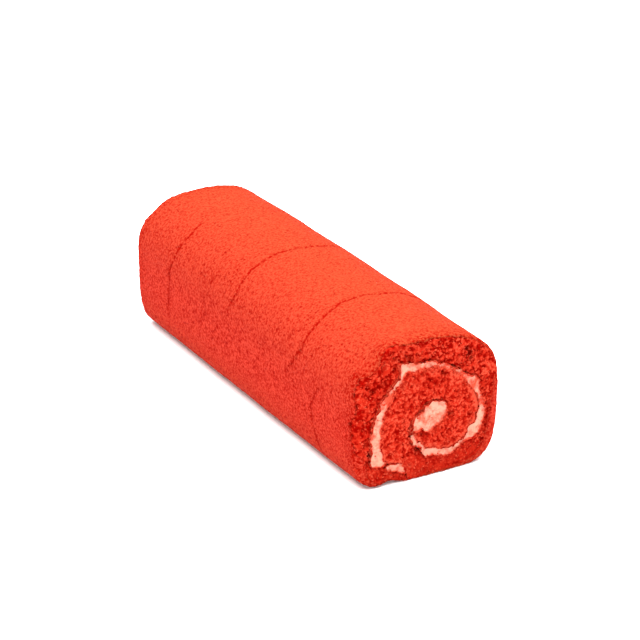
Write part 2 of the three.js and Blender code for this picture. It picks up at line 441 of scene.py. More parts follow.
def pits_in_skin(tree, position, coarse, size, least, most):
    """Round pits of many sizes, one to a cell: 1 in a pit. They grow with coarseness."""
    cells = add_node(tree, "ShaderNodeTexVoronoi", {"Vector": position, "Scale": 1 / size})
    chance = add_node(tree, "ShaderNodeSeparateXYZ", {0: cells.outputs["Color"]})
    usual = add_node(tree, "ShaderNodeMapRange", {"Value": coarse, "To Min": least, "To Max": most})
    radius = add_node(tree, "ShaderNodeMath", {0: chance, 1: usual}, operation="MULTIPLY")
    bottom = add_node(tree, "ShaderNodeMath", {0: radius, 1: 0.6}, operation="MULTIPLY")
    return add_node(
        tree, "ShaderNodeMapRange",
        {"Value": cells, "From Min": bottom, "From Max": radius, "To Min": 1, "To Max": 0},
    )


def crumb_material(colours):
    """Fresh sponge crumb: a dry, open foam. It is matt, with painted shade dark in its pores and grooves and
    a partly painted highlight bright on its crests.
    """
    material, tree, position = new_material("sponge crumb")
    total, tone = (
        add_node(tree, "ShaderNodeAttribute", attribute_name=name).outputs["Fac"] for name in ("pit", "tone")
    )
    mottle = noise_between(tree, position, 1.3 * MM, 0.0, 0.42)
    patch = noise_between(tree, position, 7 * MM, 0.0, 0.16, 1.0)
    for part in (tone, mottle, patch):
        total = add_node(tree, "ShaderNodeMath", {0: total, 1: part}, operation="ADD")
    # The ramp runs from the crest colour, partly a painted highlight, through the crumb to the pore colour,
    # painted shade. The pit share paints shade into the pores and the tone paints shade into grooves and
    # shaded zones, besides the random mottle.
    ramp = add_node(tree, "ShaderNodeValToRGB", {"Fac": total})
    stops = ramp.color_ramp.elements
    for stop, darkness, colour in zip(
        (stops[0], stops.new(0.4), stops[-1]), (0.05, 0.4, 0.95), (colours.crest_and_highlight, colours.crumb, colours.pore_shade)
    ):
        stop.position = darkness
        stop.color = tuple(colour)
    grain = add_node(
        tree, "ShaderNodeTexNoise", {"Vector": position, "Scale": 1 / (0.45 * MM), "Detail": 3.0}
    )
    bump = add_node(tree, "ShaderNodeBump", {"Height": grain, "Strength": 0.6, "Distance": 0.25 * MM})
    end_material(
        tree,
        {
            "Base Color": ramp, "Normal": bump,
            "Roughness": 0.95, "Specular IOR Level": 0.01,
        },
    )
    return material


def skin_material(colours):
    """The baked skin of a sponge: a thin, dry, velvety film with pinholes, painted more orange on top as
    painted light, with painted shade in its pits and creases.
    """
    material, tree, position = new_material("baked sponge skin")
    crease, coarse, torn, redness = (
        add_node(tree, "ShaderNodeAttribute", attribute_name=name).outputs["Fac"]
        for name in ("crease", "coarse", "torn", "redness")
    )
    warp = add_node(tree, "ShaderNodeTexNoise", {"Vector": position, "Scale": 1 / (1.2 * MM), "Detail": 2.0})
    shift = add_node(
        tree, "ShaderNodeVectorMath",
        {0: warp.outputs["Color"], 1: (1.8 * MM,) * 3, 2: position}, operation="MULTIPLY_ADD",
    )
    pinholes = pits_in_skin(tree, shift, coarse, 2.6 * MM, 0.15, 0.4)
    dimples = pits_in_skin(tree, shift, coarse, 1.6 * MM, 0.42, 0.8)
    faint = add_node(tree, "ShaderNodeMath", {0: dimples, 1: 0.2}, operation="MULTIPLY")
    holes = add_node(tree, "ShaderNodeMath", {0: faint, 1: pinholes}, operation="MAXIMUM")
    # Creases are painted dark in dashes, as painted shade in the folds.
    dashed = noise_between(tree, position, 2.0 * MM, 0.2, 1.8, 1.0)
    line = add_node(tree, "ShaderNodeMath", {0: crease, 1: dashed}, operation="MULTIPLY")
    marks = add_node(tree, "ShaderNodeMath", {0: holes, 1: line}, operation="MAXIMUM")
    most = add_node(tree, "ShaderNodeMapRange", {"Value": coarse, "To Min": 0.5, "To Max": 1.05})
    tone = noise_between(tree, position, 1.15 * MM, -0.3, most, 3.0)
    mottle = noise_between(tree, position, 1.5 * MM, -0.15, 0.75)
    edge = add_node(tree, "ShaderNodeMath", {0: torn, 1: mottle, 2: tone}, operation="MULTIPLY_ADD")
    total = add_node(tree, "ShaderNodeMath", {0: marks, 1: edge}, operation="ADD", use_clamp=True)
    # Painted light and shade: the skin turns from the lit top's orange to the shaded sides' red.
    clean = add_node(
        tree, "ShaderNodeMix", {"Factor": redness, "A": colours.skin_lit_top, "B": colours.skin}, data_type="RGBA"
    )
    # Painted shade: pits and creases darken the skin towards the dark colour, along with the real mottle
    # where it is torn.
    colour = add_node(
        tree, "ShaderNodeMix", {"Factor": total, "A": clean, "B": colours.skin_dark}, data_type="RGBA"
    )
    grain = noise_between(tree, position, 0.9 * MM, 0.0, 0.6, 3.0)
    height = add_node(tree, "ShaderNodeMath", {0: marks, 1: -1.0, 2: grain}, operation="MULTIPLY_ADD")
    bump = add_node(tree, "ShaderNodeBump", {"Height": height, "Strength": 0.8, "Distance": 0.35 * MM})
    end_material(
        tree,
        {"Base Color": colour, "Normal": bump, "Roughness": 0.9, "Specular IOR Level": 0.02},
    )
    return material


def cream_material(colours):
    """Whipped filling: fat and air, so light goes into it. It is soft, satin, stained by sponge, and painted
    with shade at its edges.
    """
    material, tree, position = new_material("whipped cream")
    stain, crusted = (
        add_node(tree, "ShaderNodeAttribute", attribute_name=name).outputs["Fac"]
        for name in ("stain", "crusted")
    )
    patch = noise_between(tree, position, 3.4 * MM, -0.25, 0.6)
    speckle = noise_between(tree, position, 1.4 * MM, -0.1, 0.12)
    spotted = add_node(tree, "ShaderNodeMath", {0: stain, 1: speckle}, operation="ADD")
    total = add_node(tree, "ShaderNodeMath", {0: spotted, 1: patch}, operation="ADD", use_clamp=True)
    soft = add_node(
        tree, "ShaderNodeMix", {"Factor": total, "A": colours.cream, "B": colours.smear_and_edge_shade}, data_type="RGBA"
    )

    # Crumbs cake its edges, which are dry there, so neither shine nor light inside is left. The crumb colours
    # painted there are also painted shade in the crevice at the crumb.
    mottle = noise_between(tree, position, 1.3 * MM, 0.0, 1.0)
    crust_and_shade = add_node(
        tree, "ShaderNodeMix", {"Factor": mottle, "A": colours.crest_and_highlight, "B": colours.pore_shade}, data_type="RGBA"
    )
    colour = add_node(tree, "ShaderNodeMix", {"Factor": crusted, "A": soft, "B": crust_and_shade}, data_type="RGBA")
    shine = add_node(tree, "ShaderNodeMapRange", {"Value": crusted, "To Min": 0.2, "To Max": 0.0})
    depth = add_node(tree, "ShaderNodeMapRange", {"Value": crusted, "To Min": 0.35, "To Max": 0.0})
    grain = add_node(tree, "ShaderNodeTexNoise", {"Vector": position, "Scale": 1 / (1.2 * MM), "Detail": 3.0})
    bump = add_node(tree, "ShaderNodeBump", {"Height": grain, "Strength": 0.4, "Distance": 0.3 * MM})
    end_material(
        tree,
        {
            "Base Color": colour, "Normal": bump,
            "Roughness": 0.5, "Specular IOR Level": shine, "Subsurface Weight": depth,
            "Subsurface Radius": (1.0, 0.45, 0.25), "Subsurface Scale": 1.5 * MM,
        },
    )
    return material


def floor_material(colours):
    """Matt white paper, which shows nothing but the soft shadow."""
    material, tree, position = new_material("white paper")
    fibres = add_node(tree, "ShaderNodeTexNoise", {"Vector": position, "Scale": 1 / (4 * MM), "Detail": 2.0})
    bump = add_node(tree, "ShaderNodeBump", {"Height": fibres, "Strength": 0.03, "Distance": 0.1 * MM})
    end_material(tree, {"Base Color": colours.floor, "Normal": bump, "Roughness": 0.9})
    return material


def make_object(context, name, grids, faces, attributes):
    """A mesh object from grids of points in design millimetres, faces of point numbers, and attributes,
    each with one value or an array of values for every grid."""
    sizes = context.scene.swiss_roll_sizes
    scale = np.array([sizes.width / WIDTH, sizes.length / LENGTH, sizes.height / HEIGHT])
    points = np.concatenate([grid.reshape(-1, 3) for grid in grids]) * scale
    mesh = bpy.data.meshes.new(name)
    mesh.from_pydata(points.tolist(), [], faces)
    for key, parts in attributes.items():
        values = [np.broadcast_to(part, grid.shape[:2]).ravel() for part, grid in zip(parts, grids)]
        attribute = mesh.attributes.new(key, "FLOAT", "POINT")
        attribute.data.foreach_set("value", np.concatenate(values).astype(np.float32))
    mesh.validate()
    mesh.shade_smooth()
    made = bpy.data.objects.new(name, mesh)
    context.scene.collection.objects.link(made)
    return made


def grid_faces(grid, flip=False):
    """Quads between the rows and columns of a grid of point numbers."""
    corners = [grid[:-1, :-1], grid[:-1, 1:], grid[1:, 1:], grid[1:, :-1]]
    if flip:
        corners.reverse()
    return np.stack([c.ravel() for c in corners], 1).tolist()


def faces_through(shape):
    """Faces of a solid whose points are two like grids, one at the near cut and one at the far cut."""
    near = np.arange(shape[0] * shape[1]).reshape(shape)
    far = near + near.size
    faces = grid_faces(near) + grid_faces(far, flip=True)
    faces += grid_faces(np.stack([near[:, -1], far[:, -1]], 1))
    faces += grid_faces(np.stack([near[:, 0], far[:, 0]], 1), flip=True)
    faces += grid_faces(np.stack([near[0], far[0]], 0))
    faces += grid_faces(np.stack([near[-1], far[-1]], 0), flip=True)
    return faces


def new_tree(name, labels):
    """A geometry node tree with a geometry going in and out and a named input for each label."""
    tree = bpy.data.node_groups.new(name, "GeometryNodeTree")
    tree.interface.new_socket("Geometry", in_out="INPUT", socket_type="NodeSocketGeometry")
    tree.interface.new_socket("Geometry", in_out="OUTPUT", socket_type="NodeSocketGeometry")
    kinds = {"Seed": "NodeSocketInt", "Material": "NodeSocketMaterial"}
    for label in (*labels, "Material"):
        tree.interface.new_socket(label, in_out="INPUT", socket_type=kinds.get(label, "NodeSocketFloat"))
    return tree, add_node(tree, "NodeGroupInput").outputs


def end_tree(tree, geometry, material):
    """Ends a tree: nothing reaches below the floor, instances are realized and the material is set."""
    position = add_node(tree, "GeometryNodeInputPosition")
    parts = add_node(tree, "ShaderNodeSeparateXYZ", {0: position}).outputs
    above = add_node(tree, "ShaderNodeMath", {0: parts[2], 1: 0.0}, operation="MAXIMUM")
    joined = add_node(tree, "ShaderNodeCombineXYZ", {0: parts[0], 1: parts[1], 2: above})
    flat = add_node(tree, "GeometryNodeSetPosition", {"Geometry": geometry, "Position": joined})
    real = add_node(tree, "GeometryNodeRealizeInstances", {"Geometry": flat})
    done = add_node(tree, "GeometryNodeSetMaterial", {"Geometry": real, "Material": material})
    add_node(tree, "NodeGroupOutput", {"Geometry": done})


def run_tree(context, holder, tree, values):
    """Runs a tree on an object and leaves its result as the object's own plain mesh."""
    modifier = holder.modifiers.new(tree.name, "NODES")
    modifier.node_group = tree
    sockets = {s.name: s.identifier for s in tree.interface.items_tree if s.in_out == "INPUT"}
    for label, value in values.items():
        modifier[sockets[label]] = value
    evaluated = holder.evaluated_get(context.evaluated_depsgraph_get())
    mesh = bpy.data.meshes.new_from_object(evaluated)
    holder.modifiers.remove(modifier)
    old = holder.data
    holder.data = mesh
    bpy.data.meshes.remove(old)
    mesh.name = holder.name


def crumb_relief_tree():
    """Pores, caves and crags sunk into torn crumb, deeper where it is torn more."""
    tree, given = new_tree(
        "Crumb relief", ("Pore size", "Pore depth", "Cave size", "Cave depth", "Crag size", "Crag depth")
    )
    position = add_node(tree, "GeometryNodeInputPosition")
    normal = add_node(tree, "GeometryNodeInputNormal")
    torn, relief = (
        add_node(tree, "GeometryNodeInputNamedAttribute", {"Name": name}) for name in ("torn", "relief")
    )
    warp = add_node(tree, "ShaderNodeTexNoise", {"Vector": position, "Scale": 1 / (2 * MM), "Detail": 1.0})
    bent = add_node(
        tree, "ShaderNodeVectorMath",
        {0: warp.outputs["Color"], 1: (2.2 * MM,) * 3, 2: position}, operation="MULTIPLY_ADD",
    )

    # Pores are the gaps between cells and caves are round. Both come in patches: the last two values are a
    # patch's size and the noise above which it begins.
    pits = {}
    for label, feature, inner, outer, patch_size, rare in (
        ("Pore", "DISTANCE_TO_EDGE", 0.05, 0.24, 2.4, 0.43), ("Cave", "F1", 0.08, 0.42, 5.0, 0.47),
    ):
        scale = add_node(tree, "ShaderNodeMath", {0: 1.0, 1: given[label + " size"]}, operation="DIVIDE")
        cells = add_node(tree, "ShaderNodeTexVoronoi", {"Vector": bent, "Scale": scale}, feature=feature)
        hole = add_node(
            tree, "ShaderNodeMapRange",
            {
                "Value": cells,
                "From Min": inner, "From Max": outer, "To Min": 1.0, "To Max": 0.0,
            },
            interpolation_type="SMOOTHSTEP",
        )
        noise = add_node(
            tree, "ShaderNodeTexNoise", {"Vector": position, "Scale": 1 / (patch_size * MM), "Detail": 1.0}
        )
        patch = add_node(
            tree, "ShaderNodeMapRange", {"Value": noise, "From Min": rare, "From Max": rare + 0.13}
        )
        pit = add_node(tree, "ShaderNodeMath", {0: hole, 1: patch}, operation="MULTIPLY")
        pits[label] = add_node(tree, "ShaderNodeMath", {0: pit, 1: torn}, operation="MULTIPLY")

    scale = add_node(tree, "ShaderNodeMath", {0: 1.0, 1: given["Crag size"]}, operation="DIVIDE")
    noise = add_node(
        tree, "ShaderNodeTexNoise", {"Vector": position, "Scale": scale, "Detail": 3.0, "Roughness": 0.6}
    )
    crag = add_node(tree, "ShaderNodeMapRange", {"Value": noise, "From Min": 0.35, "From Max": 0.75})
    depth = 0.0
    for share, label in ((pits["Pore"], "Pore depth"), (pits["Cave"], "Cave depth"), (crag, "Crag depth")):
        depth = add_node(
            tree, "ShaderNodeMath", {0: share, 1: given[label], 2: depth}, operation="MULTIPLY_ADD"
        )
    sunken = add_node(tree, "ShaderNodeMath", {0: depth, 1: relief}, operation="MULTIPLY")
    inward = add_node(tree, "ShaderNodeMath", {0: sunken, 1: -1.0}, operation="MULTIPLY")
    offset = add_node(tree, "ShaderNodeVectorMath", {0: normal, "Scale": inward}, operation="SCALE")
    # The pit share is stored for the crumb material, which paints shade into the pores with it.
    pit = add_node(
        tree, "ShaderNodeMath", {0: pits["Pore"], 1: 0.8, 2: pits["Cave"]}, operation="MULTIPLY_ADD"
    )
    marked = add_node(
        tree, "GeometryNodeStoreNamedAttribute",
        {"Geometry": given["Geometry"], "Name": "pit", "Value": pit}, data_type="FLOAT", domain="POINT",
    )
    sunk = add_node(tree, "GeometryNodeSetPosition", {"Geometry": marked, "Offset": offset})
    end_tree(tree, sunk, given["Material"])
    return tree


def surface_relief_tree():
    """Soft lumps and fine grain over a skin or over cream."""
    tree, given = new_tree("Soft relief", ("Lump size", "Lump height", "Grain size", "Grain height"))
    position = add_node(tree, "GeometryNodeInputPosition")
    normal = add_node(tree, "GeometryNodeInputNormal")
    rough = add_node(tree, "GeometryNodeInputNamedAttribute", {"Name": "rough"})
    height = 0.0
    for label in ("Lump", "Grain"):
        scale = add_node(tree, "ShaderNodeMath", {0: 1.0, 1: given[label + " size"]}, operation="DIVIDE")
        noise = add_node(tree, "ShaderNodeTexNoise", {"Vector": position, "Scale": scale, "Detail": 2.0})
        level = add_node(
            tree, "ShaderNodeMapRange",
            {"Value": noise, "From Min": 0.25, "From Max": 0.75, "To Min": -1.0, "To Max": 1.0},
        )
        height = add_node(
            tree, "ShaderNodeMath",
            {0: level, 1: given[label + " height"], 2: height}, operation="MULTIPLY_ADD",
        )
    height = add_node(tree, "ShaderNodeMath", {0: height, 1: rough}, operation="MULTIPLY")
    offset = add_node(tree, "ShaderNodeVectorMath", {0: normal, "Scale": height}, operation="SCALE")
    moved = add_node(tree, "GeometryNodeSetPosition", {"Geometry": given["Geometry"], "Offset": offset})
    end_tree(tree, moved, given["Material"])
    return tree


def crumb_scatter_tree():
    """Loose crumbs on a surface: small stones of sponge, each bent by noise into its own shape."""
    tree, given = new_tree("Loose crumbs", ("Crumb size", "Density", "Seed"))
    share = add_node(tree, "GeometryNodeInputNamedAttribute", {"Name": "crumbs"})
    density = add_node(tree, "ShaderNodeMath", {0: share, 1: given["Density"]}, operation="MULTIPLY")
    points = add_node(
        tree, "GeometryNodeDistributePointsOnFaces",
        {"Mesh": given["Geometry"], "Density": density, "Seed": given["Seed"]}, distribute_method="RANDOM",
    )
    stone = add_node(tree, "GeometryNodeMeshIcoSphere", {"Radius": 0.5, "Subdivisions": 2})
    turn = add_node(
        tree, "FunctionNodeRandomValue", {"Max": (2 * math.pi,) * 3, "Seed": 3}, data_type="FLOAT_VECTOR"
    )
    width = add_node(
        tree, "FunctionNodeRandomValue", {"Min": (0.45, 0.45, 0.4), "Max": (1.35, 1.2, 1.1), "Seed": 5},
        data_type="FLOAT_VECTOR",
    )
    scale = add_node(
        tree, "ShaderNodeVectorMath", {0: width, "Scale": given["Crumb size"]}, operation="SCALE"
    )
    placed = add_node(
        tree, "GeometryNodeInstanceOnPoints",
        {"Points": points, "Instance": stone, "Rotation": turn, "Scale": scale},
    )
    real = add_node(tree, "GeometryNodeRealizeInstances", {"Geometry": placed})
    position = add_node(tree, "GeometryNodeInputPosition")
    noise = add_node(tree, "ShaderNodeTexNoise", {"Vector": position, "Scale": 1 / (0.7 * MM), "Detail": 2.0})
    centred = add_node(
        tree, "ShaderNodeVectorMath", {0: noise.outputs["Color"], 1: (0.5,) * 3}, operation="SUBTRACT"
    )
    offset = add_node(tree, "ShaderNodeVectorMath", {0: centred, "Scale": 0.9 * MM}, operation="SCALE")
    bent = add_node(tree, "GeometryNodeSetPosition", {"Geometry": real, "Offset": offset})
    smooth_crumbs = add_node(tree, "GeometryNodeSetShadeSmooth", {"Geometry": bent})
    end_tree(tree, smooth_crumbs, given["Material"])
    return tree


# The grid of the crumb at a cut: points across the flat face and round the bend at its edge, then a band
# along the log in even steps and single places further in.
FACE_POINTS = 35
BEND_POINTS = 7
BAND_STEPS = 10
BAND = 8.0
FURTHER_IN = (14, 22, 32, 45, 65, 90)

# The bend's radius at the cream, and the most of a layer's thickness that any bend takes up.
INNER_EDGE_RADIUS = 0.5
MOST_OF_LAYER = 0.4


def cut_grid(inner, outer, rim):
    """Radius and depth of every point of the crumb at a cut, from the layer's own radii and its rounding."""
    across = np.linspace(0, 1, FACE_POINTS)
    bend = np.radians(np.linspace(0, 90, BEND_POINTS + 1)[1:])
    back = np.concatenate([np.linspace(0, BAND, BAND_STEPS + 1)[1:], FURTHER_IN])
    edge = outer - rim
    radius = [mix(inner, edge, across), edge + rim * np.sin(bend), np.repeat(outer, len(back), 1)]
    depth = [np.zeros((len(inner), FACE_POINTS)), rim * (1 - np.cos(bend)), rim + back]
    return np.concatenate(radius, 1), np.concatenate(depth, 1)


def side(turn, angle, spread):
    """1 at a direction round the roll, falling to 0 away from it."""
    return np.exp(-(((np.mod(turn - angle + 180, 360) - 180) / spread) ** 2))


# How many degrees further round the skin's edge at the far cut is worn like that at the near cut.
FAR_CUT_TURN = 24


def rim_radius(turn):
    """The rounding of the skin's edge at a cut: tight on the right and below, worn on the left."""
    worn = 2.6 * side(turn, 175, 38) + 1.9 * side(turn, 134, 8) + 2.2 * side(turn, 210, 13)
    return 1.4 + worn + 0.9 * side(turn, 52, 25) - 0.5 * side(turn, 113, 10)


def skin_wrap(turn, sign):
    """How far the skin reaches in over a cut. Below 0 it ends short of the edge, as it does on the left."""
    turn = turn - FAR_CUT_TURN * (sign > 0)
    right = 3.6 * side(turn, -22, 32)
    top = -1.3 * side(turn, 112, 16) + 3.0 * side(turn, 134, 6)
    left = -1.8 * side(turn, 175, 30) + 4.6 * side(turn, 210, 11)
    return 1.2 + right + top + left


# Large holes in the near cut: x, z, radius and depth. The last three are one split.
NEAR_HOLES = (
    (-17.1, 58.5, 1.7, 2.4), (-10.8, 63.1, 1.6, 2.4), (-17.7, 62.6, 1.4, 1.6), (-23.5, 61.5, 1.6, 1.8),
    (-14.6, 66.9, 1.2, 1.2), (8.9, 53.1, 1.3, 2.0), (-2.1, 56.1, 1.6, 1.4), (13.3, 30.0, 1.1, 2.6),
    (24.4, 27.8, 1.2, 1.8), (-33.3, 24.4, 1.5, 1.8), (-31.1, 18.7, 1.3, 2.4), (-5.1, 15.8, 1.6, 2.6),
    (-16.9, 7.4, 1.6, 2.0), (-32.5, 54.5, 1.6, 1.8), (-23.2, 53.5, 1.5, 2.0), (-13.3, 50.1, 1.4, 2.2),
    (-29.8, 51.0, 1.4, 1.6), (22.3, 62.2, 0.9, 2.4), (23.5, 59.4, 1.1, 3.0), (24.7, 56.2, 1.0, 2.4),
)

# Where the sponge has stained the cream at the near cut: x, z, radius and strength.
NEAR_STAINS = (
    (-21.9, 46.4, 3.6, 1.5), (12.6, 53.1, 3.6, 1.0), (24.9, 42.5, 3.0, 0.9), (31.0, 34.0, 3.4, 1.0),
    (-4.0, 37.0, 3.0, 0.9), (-1.5, 29.4, 1.4, 0.5), (-31.0, 28.0, 1.8, 0.9), (-22.4, 12.8, 1.6, 1.0),
    (-11.7, 55.0, 1.8, 0.7), (2.0, 58.0, 7.0, 0.3), (19.0, 48.0, 5.0, 0.3), (0.0, 33.0, 7.0, 0.35),
    (-29.0, 14.0, 6.0, -0.3), (29.0, 24.0, 5.0, -0.3),
)


def far_holes(count=12, seed=11):
    """Holes in the far cut, which is torn like the near one in other places, most in the outer turn."""
    random = np.random.default_rng(seed)
    turn = random.uniform(0, 360, count)
    in_outer_turn = random.random(count) < 0.6
    radius = np.where(in_outer_turn, random.uniform(33, 36, count), random.uniform(13, 23, count))
    x, z = place(turn, np.minimum(radius, skin_radius(turn) - 4))
    return np.stack([x, z, random.uniform(1.0, 1.8, count), random.uniform(1.2, 2.8, count)], 1)


# How much darker the crumb is painted, as painted shade: in the groove at the cream, near the floor at its
# foot where it is also pressed, in the outer turn on the left and at the top, and beside the skin on the
# right; and how much lighter where cream has wet it.
GROOVE_SHADE = 0.42
FOOT_SHADE = 0.2
LEFT_SHADE = 0.23
TOP_SHADE = 0.1
BESIDE_SKIN_SHADE = 0.35
WET_TONE = -0.4

# How deep the crumb is sunk in that groove and beside the skin, and where cream has wet it.
GROOVE_DEPTH = 0.35
BESIDE_SKIN_DEPTH = 1.3
WET_DEPTH = -0.2


class SWISSROLL_OT_crumb(bpy.types.Operator):
    """Makes the rolled sheet of sponge, with torn crumb at both cut ends"""

    bl_idname = "swissroll.crumb"
    bl_label = "Sponge crumb"

    def execute(self, context):
        sizes = context.scene.swiss_roll_sizes
        rows = evenly(TIP, TAIL, sheet_middle, CRUMB_SPACING)[:, None]
        inner = sheet_inner(rows)
        outer = np.where(rows < SEAM_OUT, sheet_outer(rows), sheet_outer(rows) - SKIN_THICK * SKIN_SUNK)
        on_skin = smooth(rows, SEAM_OUT, SEAM_OUT + 12)
        rim = mix(INNER_EDGE_RADIUS, rim_radius(rows), on_skin)
        rim = np.minimum(rim, MOST_OF_LAYER * (outer - inner))
        radius, edge_depth = cut_grid(inner, outer, rim)
        x, z = place(rows, radius)

        # The relief is shallow where an edge is rounded tightly, so that it doesn't fold over.
        past_bend = np.where(edge_depth > 0, edge_depth, radius - (outer - rim))
        at_bend = np.exp(-(((past_bend - rim / 2) / (0.5 * rim + 0.5)) ** 2))
        relief = 1 - 0.7 * np.minimum(1, 1.5 / rim) * at_bend

        # Cream wets the crumb on its inner side and pulls it off in a groove on its outer side, which is sunk
        # and given painted shade.
        soak = 1.7 + 0.9 * wander(rows, 14, 21)
        wet = np.exp(-(((outer - radius) / soak) ** 2)) * (1 - smooth(rows, CREAM_END - 4, CREAM_END + 2))
        groove = np.exp(-(((radius - inner) / (0.55 * soak)) ** 2))
        groove = groove * (1 - smooth(rows, CREAM_END + 357, CREAM_END + 363))
        # Painted shade: the tone darkens the crumb near the floor, on the left and at the top of the outer
        # turn, and in the groove; it lightens the wet crumb.
        near_floor = 1 - smooth(z, 7, 13)
        outer_turn = smooth(rows, 700, 720)
        left_shade = LEFT_SHADE * side(rows, 178, 28) * outer_turn
        top_shade = TOP_SHADE * side(rows, 100, 50) * outer_turn
        tone = GROOVE_SHADE * groove + FOOT_SHADE * near_floor + left_shade + top_shade + WET_TONE * wet

        # The outer turn is torn a little more than the inner one, except where it is wet or pressed.
        torn = (0.8 + 0.2 * smooth(rows, 640, 760)) * (1 - 0.9 * wet) * (1 - 0.6 * near_floor)
        tones, ends = [], []
        for sign, holes in ((-1, NEAR_HOLES), (1, far_holes())):
            past_skin = outer - radius - skin_wrap(rows, sign)
            # Beside the skin on the right the crumb is sunk in a groove and given painted shade.
            beside_skin = np.exp(-(((past_skin - 0.8) / 0.6) ** 2)) * on_skin * side(rows, -22, 28)
            tones.append(tone + BESIDE_SKIN_SHADE * beside_skin)
            depth = crown_depth(x, z) + edge_depth
            depth = depth + BESIDE_SKIN_DEPTH * beside_skin + GROOVE_DEPTH * groove + WET_DEPTH * wet
            for hole_x, hole_z, size, deep in holes:
                in_hole = np.exp(-(((x - hole_x) ** 2 + (z - hole_z) ** 2) / size**2))
                depth = depth + (edge_depth < 0.5) * deep * in_hole
            ends.append(settle(x, sign * (LENGTH / 2 - depth), z, sizes.tail_curl / MM))
        values = {"torn": (torn, torn), "relief": (relief, relief), "tone": tones}
        piece = make_object(context, "sponge_crumb", ends, faces_through(x.shape), values)
        run_tree(
            context, piece, crumb_relief_tree(),
            {
                "Pore size": sizes.pore_size, "Pore depth": sizes.pore_depth,
                "Cave size": sizes.cave_size, "Cave depth": sizes.cave_depth,
                "Crag size": sizes.crag_size, "Crag depth": sizes.crag_depth,
                "Material": crumb_material(context.scene.swiss_roll_colours),
            },
        )
        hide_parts("sponge")
        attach(piece, "root")
        return {"FINISHED"}


# The skin's creases on the unrolled skin: each a strength, then its course as distance round from the
# seam and place along the log.
CREASES = (
    (1.0, ((24, -62), (50, -66), (80, -64), (109, -62), (121, -59), (133, -59), (144, -57), (154, -57),
           (163, -60), (173, -62), (184, -62), (191, -59), (201, -50))),
    (1.0, ((196, -82), (201, -78), (210, -74), (220, -76), (232, -81))),
    (1.0, ((18, 12), (50, 8), (80, 14), (109, 12), (128, 9), (140, 10), (151, 10), (160, 9), (170, 7),
           (181, 6), (192, 9))),
    (0.7, ((30, 76), (66, 70), (100, 67), (122, 68))),
    (1.0, ((163, 71), (173, 69), (185, 71), (196, 74), (208, 76), (222, 76))),
    (0.5, ((174, 27), (184, 29), (199, 36), (212, 39))),
)
CREASE_WIDTH = 0.7

# The skin's columns of points along the log, how much they crowd at its ends, and the columns that its
# underside has too.
SKIN_COLUMNS = 284
CROWDING = 0.11
UNDER_COLUMNS = [0, 25, 43, 62, 85, 114, 170, 199, 223, 242, 260, 283]

# How far in from a cut the skin is mottled by the tear.
TORN_REACH = 7


def crease_share(round_the_roll, along):
    """How near a point of the skin is to a crease: 1 in its bottom, 0 well away."""
    share = np.zeros_like(along)
    for number, (strength, course) in enumerate(CREASES):
        knots = np.array(course, float)
        middle = np.interp(round_the_roll, knots[:, 0], knots[:, 1])
        middle = middle + 0.7 * wander(round_the_roll, 5, 20 + number)
        fade = smooth(round_the_roll, knots[0, 0] - 4, knots[0, 0] + 4)
        fade = fade * (1 - smooth(round_the_roll, knots[-1, 0] - 6, knots[-1, 0] + 6))
        share = np.maximum(share, strength * fade * np.exp(-(((along - middle) / CREASE_WIDTH) ** 2)))
    return share


def skin_reach(turn, arc, sign):
    """How far the skin runs on past the start of the rounding, with its torn edge."""
    worn = side(turn, 185, 62)
    coarse = (0.4 + 1.2 * worn) * wander(arc, 3.1, 31 + sign)
    fine = (0.3 + 0.6 * worn) * wander(arc, 1.1, 41 + sign)
    rim = rim_radius(turn)
    wrap = skin_wrap(turn, sign) + coarse + fine
    wrap = wrap if sign < 0 else np.maximum(wrap, 1.6 + 0.3 * fine)
    bent = rim * np.arccos(np.clip(1 - wrap / rim, 0, 1))
    return np.where(wrap < 0, 1.5 * wrap, np.where(wrap < rim, bent, rim * math.pi / 2 + wrap - rim))


